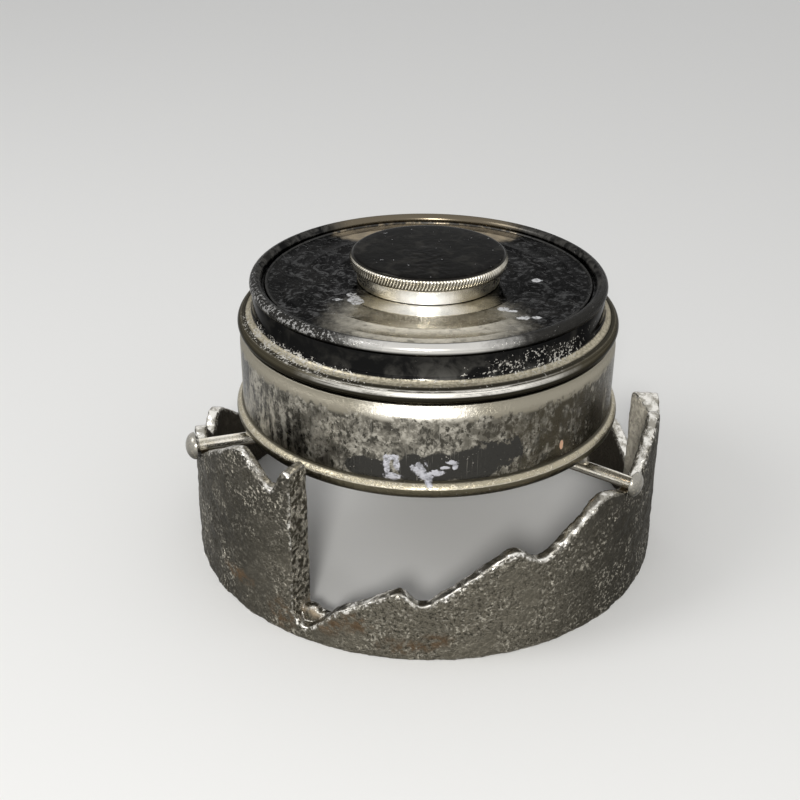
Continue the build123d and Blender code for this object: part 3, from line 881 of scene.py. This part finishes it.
def drum_finish():
    material, tree, shader = start_finish("worn_plating", edge_tint=0.8)
    broad = clouds(tree, 7, 0.44, 0.58, swirl=1.2, seed=6)
    mottle = clouds(tree, 2.6, 0.43, 0.58, swirl=0.6, seed=3)
    fine = clouds(tree, 0.7, 0.4, 0.6, seed=2)
    smuts = clouds(tree, 0.9, 0.5, 0.6, upright=0.7, seed=31)
    runs = clouds(tree, 2.6, 0.44, 0.58, upright=0.35, swirl=0.5, seed=7)
    sides = inverse(stain(tree, (4, 40, 56, 60), 0, 0.4))
    scratches = both(clouds(tree, 0.2, 0.6, 0.66, upright=0.015, seed=8),
                     stain(tree, (-12, 37, 30, 17), 0.1, 0.4))
    wiped = either(*[stain(tree, place, ragged, 0.08) for *place, ragged in WIPED_PLACES])
    copper = stain(tree, (42, 34.4, 0.9, 2), 0.25)
    splashes = scattered(tree, stain, DRUM_SPLASHES, 0.65)
    chalk = both(splashes, clouds(tree, 0.8, 0.38, 0.54, seed=32))
    drips = both(clouds(tree, 3.2, 0.48, 0.56, upright=0.2, swirl=0.4, seed=33),
                 clouds(tree, 0.8, 0.36, 0.56, seed=34), stain(tree, (-66, 38, 44, 22), 0.1, 0.4))
    # The mouth band: partly a cleaner band, partly painted highlight; its front is a painted highlight
    mouth = zone(tree, low=plus(DRUM_TOP - 3.2, mottle, 0.9), high=DRUM_TOP + 5, soft=0.5)
    painted_light_front = stain(tree, (-2, DRUM_TOP - 1, 16, 6), 0.06, 0.6)
    foot = zone(tree, high=BEAD_HEIGHT + 1.55)
    seam = zone(tree, low=BEAD_HEIGHT + 1.45, high=BEAD_HEIGHT + 1.8)
    # Painted highlight line along the foot bead, and painted shade on its lower half
    painted_highlight_line = zone(tree, low=BEAD_HEIGHT + 0.56, high=BEAD_HEIGHT + 0.74, soft=0.07)
    painted_shade_below = zone(tree, high=BEAD_HEIGHT + 0.7, soft=0.15)
    flecks = both(foot, clouds(tree, 1.1, 0.5, 0.6, swirl=0.6, seed=9))
    specks = crust(tree, 0.42, 0.26)
    brown = both(stain(tree, (56, 38, 46, 26), 0.1, 0.5), clouds(tree, 1.6, 0.66, 0.42, upright=0.6, seed=36))
    films = [(broad, grey(0.16, 0.12), 0.32), (mottle, grey(0.2, 0.12), 0.38),
             ((mottle, fine), grey(0.42, 0.1), 0.45), (smuts, grey(0.06, 0.12), 0.3),
             ((runs, sides), grey(0.036, 0.12), 0.25), (brown, (0.06, 0.052, 0.036, 1), 0.24),
             (drips, grey(0.4, 0.1), 0.4), (wiped, grey(0.045, 0.06), 0.14), (scratches, grey(0.3, 0.08), 0.35),
             (mouth, grey(0.25, 0.16), 0.32), ((mouth, painted_light_front), grey(0.75, 0.08), 0.36), (foot, grey(0.34, 0.2), 0.26),
             (flecks, grey(0.42, 0.16), 0.34), (painted_shade_below, grey(0.075, 0.26), 0.36),
             ((foot, painted_highlight_line), grey(0.4, 0.15), 0.3), (seam, grey(0.08, 0.2), 0.5),
             (copper, (0.7, 0.46, 0.32, 1), 0.3), (specks, grey(0.42, 0.08), 0.55),
             (splashes, (0.32, 0.32, 0.345, 1), 0.5), (chalk, (0.58, 0.58, 0.62, 1), 0.6)]
    lay_films(shader, grey(0.07, 0.12), 0.24, films)
    turned_in = zone(tree, low=DRUM_TOP - 1.3, high=DRUM_TOP + 5, soft=1.5)
    raise_skin(shader, [(chalk, 0.06), (mottle, 0.02), (fine, 0.02), (flecks, 0.04), (scratches, -0.02),
                        (turned_in, -0.8)])
    return material


dress(drum, drum_finish())


# %% [markdown]
# The cap is black glass on top with a few specks, and warm nickel down its side, with a near-white patch at the
# front painted as a glint.
# The rope knurl is the same nickel with dirt left in its grooves.

# %% Finish of the cap
def cap_finish():
    material, tree, shader = start_finish("cap_plating", edge_tint=0.53)
    top = zone(tree, low=CAP_TOP - 0.3, soft=0.04)
    specks = crust(tree, 0.75, 0.24)
    # Painted glint: a near-white patch at the front of the side, with a bump that spreads it
    painted_glint_patch = stain(tree, (-2, 57, 13, 9), 0.05, 0.6)
    film = clouds(tree, 5, 0.45, 0.75, swirl=1, seed=9)
    smudge = clouds(tree, 1.8, 0.42, 0.68, upright=0.5, seed=4)
    foot = zone(tree, high=CAP_FOOT + 0.6, soft=0.3)
    place = add(tree, "TexCoord").outputs["Object"]
    upright = add(tree, "VectorMath", {0: place, 1: (1, 1, 0.04)}, operation="MULTIPLY").outputs[0]
    rubbed_and_highlit = both(noise(upright, 1.3, 0.5), painted_glint_patch)
    films = [(smudge, grey(0.66, 0.17), 0.34), (foot, grey(0.55, 0.2), 0.34), (painted_glint_patch, grey(0.98, 0.03), 0.26),
             (top, grey(0.008, 0.05), 0.08), ((top, film), grey(0.03, 0.1), 0.2), ((top, specks), grey(0.34), 0.5)]
    lay_films(shader, grey(0.8, 0.14), 0.24, films)
    raise_skin(shader, [(film, 0.01), (smudge, 0.01), ((top, specks), 0.03), (rubbed_and_highlit, 0.13)])
    return material


def knurl_finish():
    material, tree, shader = start_finish("knurled_nickel", edge_tint=0.6)
    dirt = clouds(tree, 2.5, 0.45, 0.7, seed=11)
    groove = inverse(zone(tree, inner=GRIP_RADIUS + 0.1))
    side = zone(tree, low=CAP_TOP - 2.6, high=CAP_TOP - 0.7, soft=0.15)
    back = puddle(tree, (0, 8, 60, 30), 0, 0.3)
    top = either(zone(tree, low=CAP_TOP - 0.42, soft=0.08),
                 both(back, zone(tree, low=CAP_TOP - 0.9, soft=0.3)))
    films = [(dirt, grey(0.45, 0.15), 0.34), ((side, groove), grey(0.1, 0.2), 0.45), (top, grey(0.02, 0.1), 0.15)]
    lay_films(shader, grey(0.66, 0.1), 0.2, films)
    return material


dress(cap, cap_finish())
dress(grip, knurl_finish())


# %% [markdown]
# The ring is bare cast metal. Its grain throws small glints, so the bump is strong and the metal not too rough,
# and bright grains are painted in as glints as well. The mask stored with the mesh brings out edges and lumps
# that have been rubbed bright, and leaves dirt in the hollows. Near the foot is brown rust, and the ends of the
# posts were left as they came out of the sand. The front is painted lighter and the right side darker, as
# painted light and shade. The inner sides of the posts are painted dark as shade, and the right post's inner
# face is a matte beige, partly dust and partly painted light.

# %% Finish of the ring
RUST_PLACES = ((-3.5, 3, 9, 3), (-33, 4, 6, 6), (-21, 5.5, 9, 4), (-48, 7, 8, 3),
               (3, 4.2, 5, 3), (-15, 6.5, 6, 4))


def facings(tree):
    """How much a face looks up, and how much it looks along the ring, as a post's end does."""
    place = add(tree, "TexCoord").outputs["Object"]
    flat = add(tree, "VectorMath", {0: place, 1: (1, 1, 0)}, operation="MULTIPLY").outputs[0]
    outwards = add(tree, "VectorMath", {0: flat}, operation="NORMALIZE").outputs[0]
    normal = add(tree, "NewGeometry").outputs["Normal"]
    level = add(tree, "SeparateXYZ", {0: normal}).outputs["Z"]
    facing = add(tree, "VectorMath", {0: normal, 1: outwards}, operation="DOT_PRODUCT").outputs["Value"]
    out = maths(tree, "ABSOLUTE", facing)
    across = both(step_up(out, 0.75, 0.5), step_up(maths(tree, "ABSOLUTE", level), 0.6, 0.4))
    return step_up(level, 0.5, 0.85), across


def ring_finish():
    material, tree, shader = start_finish("cast_skin", edge_tint=0.6)
    stand_out = add(tree, "Attribute", attribute_name="stand_out").outputs["Fac"]
    upwards, end = facings(tree)
    grain = clouds(tree, 0.6, 0.3, 0.7, seed=14)
    coarse = clouds(tree, 1.5, 0.25, 0.75, seed=15)
    hammered = clouds(tree, 1, 0.44, 0.58, seed=16)
    patchy = clouds(tree, 2, 0.42, 0.58, seed=17)
    proud = step_up(stand_out, 0.58, 0.72)
    broken = clouds(tree, 0.9, 0.46, 0.54, seed=37)
    worn = both(either(both(proud, broken), upwards), inverse(end))
    hollow = step_up(stand_out, 0.47, 0.36)
    mottle = clouds(tree, 8, 0.4, 0.62, swirl=0.8, seed=12)
    smooth = clouds(tree, 12, 0.48, 0.6, seed=20)
    rough = plus(1.0, smooth, -0.75)
    pits = both(clouds(tree, 0.6, 0.48, 0.38, seed=14), rough)
    patches = clouds(tree, 5, 0.36, 0.6, seed=38)
    # Painted glints: bright grains in patches, added to what the bump gives
    painted_glints = both(clouds(tree, 0.65, 0.52, 0.6, seed=14), rough, patches)
    rust = scattered(tree, stain, RUST_PLACES, 0.4, 0.6)
    rusty = both(rust, clouds(tree, 1.6, 0.4, 0.6, seed=19))
    # Painted light on the front of the ring, painted shade on its right side
    painted_light_front = stain(tree, (2, 9, 60, 34), 0.1, 0.7)
    painted_shade_right = stain(tree, (68, 12, 46, 60), 0.1, 0.6)
    gate = stain(tree, (-23, 4, 12, 6), 0.2, 0.3)
    # Painted shade: the inner sides of the posts are painted dark
    inside = zone(tree, outer=45.3, soft=0.3)
    # Partly painted light: the right post's inner face is a light matte beige, as if lit
    dusty_painted_lit_face = both(inside, inverse(end), stain(tree, (84, 24, 15, 28), 0.2, 0.5))
    tan = both(gate, inside)
    films = [(mottle, grey(0.072, 0.14), 0.38), (painted_light_front, grey(0.14, 0.16), 0.34), (pits, grey(0.045, 0.16), 0.46),
             (painted_glints, grey(0.38, 0.12), 0.28), ((painted_shade_right, inverse(painted_glints)), grey(0.04, 0.16), 0.4),
             (hollow, (0.06, 0.05, 0.036, 1), 0.6), (rusty, (0.13, 0.09, 0.056, 1), 0.6),
             (inside, (0.075, 0.066, 0.052, 1), 0.5), (end, grey(0.055, 0.2), 0.4),
             ((end, hammered), grey(0.4, 0.12), 0.24), (dusty_painted_lit_face, (0.84, 0.79, 0.67, 1), 0.5),
             ((dusty_painted_lit_face, hammered), (0.6, 0.55, 0.46, 1), 0.5), (tan, (0.46, 0.37, 0.26, 1), 0.45),
             (worn, grey(0.3, 0.1), 0.26), ((worn, patchy), grey(0.75, 0.05), 0.2)]
    lay_films(shader, grey(0.048, 0.14), 0.34, films)
    unworn = inverse(worn)
    dusty = both(either(dusty_painted_lit_face, tan), 0.95)
    tree.links.new(inverse(both(dusty, unworn)), shader.inputs["Metallic"])
    raise_skin(shader, [((grain, rough, unworn), 0.24), ((coarse, unworn), 0.2), ((hammered, end), 0.35)])
    return material


dress(ring, ring_finish())


# %% [markdown]
# The pins are drawn steel that was once plated: bright on top, straw to brown underneath. Their heads are
# painted dark on the low side as shade. The solder has stayed light and a little frosty.

# %% Finish of the pins and the solder
def pin_finish():
    material, tree, shader = start_finish("drawn_pin_steel")
    under = zone(tree, high=PIN_HEIGHT - 0.5, outer=46.8, soft=0.3)
    tarnish = clouds(tree, 1.8, 0.42, 0.62, seed=16)
    pits = clouds(tree, 0.45, 0.5, 0.75, seed=17)
    head = zone(tree, inner=47)
    # Painted shade: the low side of each head is painted dark
    painted_shade_low_side = zone(tree, high=PIN_HEIGHT - 0.3, soft=1.3)
    films = [(tarnish, grey(0.7, 0.12), 0.24), (head, grey(0.28, 0.08), 0.24),
             ((head, painted_shade_low_side), grey(0.07, 0.14), 0.4), (under, (0.17, 0.125, 0.07, 1), 0.4),
             (pits, grey(0.4, 0.15), 0.4)]
    lay_films(shader, grey(0.8, 0.08), 0.2, films)
    raise_skin(shader, [(tarnish, 0.008), (pits, -0.008)])
    return material


def solder_finish():
    material, tree, shader = start_finish("frosted_solder")
    frost = clouds(tree, 0.7, 0.4, 0.65, seed=18)
    lay_films(shader, grey(0.42, 0.08), 0.3, [(frost, grey(0.26, 0.1), 0.45)])
    raise_skin(shader, [(frost, 0.04)])
    return material


pin_steel = pin_finish()
for pin in pins:
    dress(pin, pin_steel)
dress(solder, solder_finish())


# %% [markdown]
# Out of sight until the stove is opened are the wool, the wick, the gauze and the cork, and under the drum its
# soldered floor and the boss. They keep their CAD shapes, apart from the soft ones, and get their own finishes.

# %% Finishes inside and underneath
def fibre_finish(name, light, dark, size, upright):
    material, tree, shader = start_finish(name, metallic=0.0)
    tufts = clouds(tree, size * 3, 0.35, 0.65, seed=19)
    fibres = clouds(tree, size * 0.3, 0.35, 0.7, upright=upright, seed=20)
    lay_films(shader, light, 0.95, [(tufts, dark, 0.95), (fibres, light, 0.9)])
    shader.inputs["Specular IOR Level"].default_value = 0.1
    raise_skin(shader, [(fibres, 0.2), (tufts, 0.3)])
    return material


def turned_finish(name, bright, dull, stained, low=0.5, high=0.68):
    material, tree, shader = start_finish(name)
    lines = effect(tree, turning_mask, width=0.35, low=low, high=high)
    dark = clouds(tree, 6, 0.42, 0.66, seed=21)
    soot = clouds(tree, 1.4, 0.5, 0.8, seed=22)
    films = [(lines, dull, 0.34), (dark, stained, 0.42), (soot, grey(0.05, 0.1), 0.6)]
    lay_films(shader, bright, 0.24, films)
    raise_skin(shader, [(lines, 0.02), (soot, 0.02)])
    return material


def cork_finish():
    material, tree, shader = start_finish("pressed_cork", metallic=0.0)
    grains = clouds(tree, 1.6, 0.4, 0.6, seed=23)
    pores = clouds(tree, 0.5, 0.6, 0.7, seed=24)
    films = [(grains, (0.42, 0.25, 0.12, 1), 0.85), (pores, (0.07, 0.035, 0.018, 1), 0.95)]
    lay_films(shader, (0.3, 0.17, 0.08, 1), 0.85, films)
    raise_skin(shader, [(pores, -0.15), (grains, 0.05)])
    return material


def gauze_finish():
    material, tree, shader = start_finish("brass_wire")
    dull = clouds(tree, 2.2, 0.4, 0.6, seed=25)
    strands = clouds(tree, 0.16, 0.4, 0.7, seed=26)
    lay_films(shader, (0.55, 0.38, 0.15, 1), 0.3, [(dull, (0.25, 0.17, 0.08, 1), 0.45)])
    raise_skin(shader, [(strands, 0.04)])
    return material


dress(pad, fibre_finish("mineral_wool", (0.56, 0.53, 0.47, 1), (0.34, 0.3, 0.25, 1), 1.4, 1.0))
dress(wick_bundle, fibre_finish("wick_cotton", (0.6, 0.55, 0.45, 1), (0.4, 0.34, 0.26, 1), 0.7, 0.4))
TURNED = {"pan_bottom": ("drum_floor", grey(0.34, 0.1), grey(0.2, 0.12), (0.16, 0.12, 0.08, 1)),
          "pin_hub": ("boss_metal", grey(0.4, 0.12), grey(0.26, 0.14), grey(0.16, 0.2)),
          "neck_collar": ("neck_metal", (0.5, 0.42, 0.27, 1), (0.34, 0.28, 0.17, 1), grey(0.3, 0.2)),
          "gauze_ring": ("spring_wire", grey(0.46, 0.06), grey(0.3, 0.08), grey(0.22, 0.12))}
for node, finish in TURNED.items():
    dress(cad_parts[node], turned_finish(*finish))
dress(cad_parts["gauze_disc"], gauze_finish())
dress(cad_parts["cap_liner"], cork_finish())
print(len(bpy.data.materials), "finishes")


# %% [markdown]
# The stove stands on a plain pale floor in soft studio light. Polished metal shows whatever is around it, so the
# world is white to the camera and to reflections, and dimmer as a light. One lamp hangs near the camera: the
# plate and the cap's side make a corner that sends its light straight back, and that is the brightest glint.

# %% Floor and light
FLOOR_COLOUR = (0.86, 0.86, 0.85, 1)
WORLD_LIGHT = 0.58

deselect()
bpy.ops.mesh.primitive_plane_add(size=6, location=(0, 0, 0))
floor = bpy.context.object
floor.name = floor.data.name = "floor"
floor_paint, _, floor_shader = start_finish("floor_paint", metallic=0.0)
for socket, value in (("Base Color", FLOOR_COLOUR), ("Roughness", 0.9), ("Specular IOR Level", 0.1)):
    floor_shader.inputs[socket].default_value = value
dress(floor, floor_paint)

world = bpy.data.worlds.new("studio")
bpy.context.scene.world = world
world.use_nodes = True
sky = world.node_tree
background = sky.nodes["Background"]
background.inputs["Color"].default_value = (1, 1, 1, 1)
rays = add(sky, "LightPath").outputs
seen = either(*[rays[f"Is {kind} Ray"] for kind in ("Camera", "Glossy", "Transmission")])
level = add(sky, "MapRange", {"Value": seen, "To Min": WORLD_LIGHT, "To Max": 1.0}).outputs["Result"]
sky.links.new(level, background.inputs["Strength"])


def soft_lamp(name, place, aim, width, power, tint=(1, 1, 1)):
    bpy.ops.object.light_add(type="AREA", location=place)
    lamp = bpy.context.object
    lamp.name = lamp.data.name = name
    lamp.data.shape = "DISK"
    lamp.data.size = width
    lamp.data.energy = power
    lamp.data.color = tint
    lamp.rotation_euler = (Vector(aim) - Vector(place)).to_track_quat("-Z", "Y").to_euler()
    print(name, power, "W,", width, "m across")


soft_lamp("key_lamp", (-0.03, -0.5, 0.29), (0, 0, 0.04), 0.08, 1.5, (1, 0.985, 0.95))
soft_lamp("side_lamp", (-0.45, -0.12, 0.5), (0, 0, 0.03), 0.3, 0.9)


# %% [markdown]
# The camera stands where the photograph was taken. Its place, direction and lens come from points of known size
# on the object: the rim's ellipse, the plate's, the drum's foot and the ring's foot. It starts by looking straight
# down, is turned to the object, tilted up to its slope and rolled a little.

# %% Camera
CAMERA_PLACE = (0, -0.2188, 0.1438)
CAMERA_PAN = -0.0246
CAMERA_TILT = 0.4853
CAMERA_ROLL = -0.0061
LENS, SENSOR_WIDTH = 54.02, 36
NEAREST = 0.01

deselect()
bpy.ops.object.camera_add()
camera = bpy.context.object
camera.name = camera.data.name = "camera"
camera.data.lens, camera.data.sensor_width = LENS, SENSOR_WIDTH
camera.data.clip_start = NEAREST
stance = Matrix.Translation(CAMERA_PLACE)
for angle, axis in ((-CAMERA_PAN, "Z"), (math.pi / 2 - CAMERA_TILT, "X"), (-CAMERA_ROLL, "Z")):
    stance = stance @ Matrix.Rotation(angle, 4, axis)
camera.matrix_world = stance
bpy.context.scene.camera = camera
bpy.context.scene.view_settings.view_transform = "Standard"


# %% Finish
bpy.context.view_layer.update()
